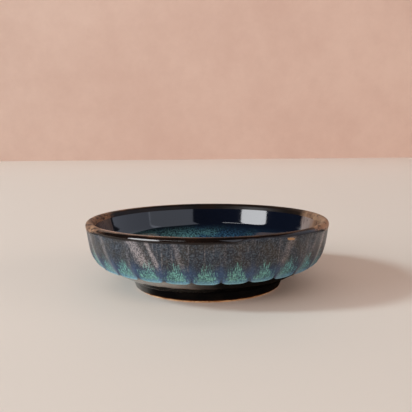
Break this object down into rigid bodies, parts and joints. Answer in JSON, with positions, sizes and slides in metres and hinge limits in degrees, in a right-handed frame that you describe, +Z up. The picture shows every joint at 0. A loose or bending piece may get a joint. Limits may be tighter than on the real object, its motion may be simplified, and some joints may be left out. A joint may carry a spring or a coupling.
{
  "type": "soy sauce dish",
  "caption": "Shallow round stoneware dish with a fluted wall, a rounded brown lip, a scalloped reactive glaze hem and a turned foot ring.",
  "frame": {"origin": "centre of the foot ring's tread, on the table", "axes": "+Z up through the middle of the dish, out of its mouth; -Y towards the camera of the picture, +X to its right"},
  "size_m": [0.1, 0.1, 0.028],
  "materials": {
    "stoneware": "matt",
    "inner_glaze": "gloss",
    "rim_glaze": "gloss",
    "outer_glaze": "satin gloss",
    "foot_glaze": "gloss"
  },
  "bodies": {
    "root": {"clay_bowl": "stoneware", "foot_ring": "stoneware", "inner_glaze": "inner_glaze", "rim_glaze": "rim_glaze", "outer_glaze": "outer_glaze", "foot_glaze": "foot_glaze", "base_glaze": "foot_glaze"}
  },
  "joints": []
}
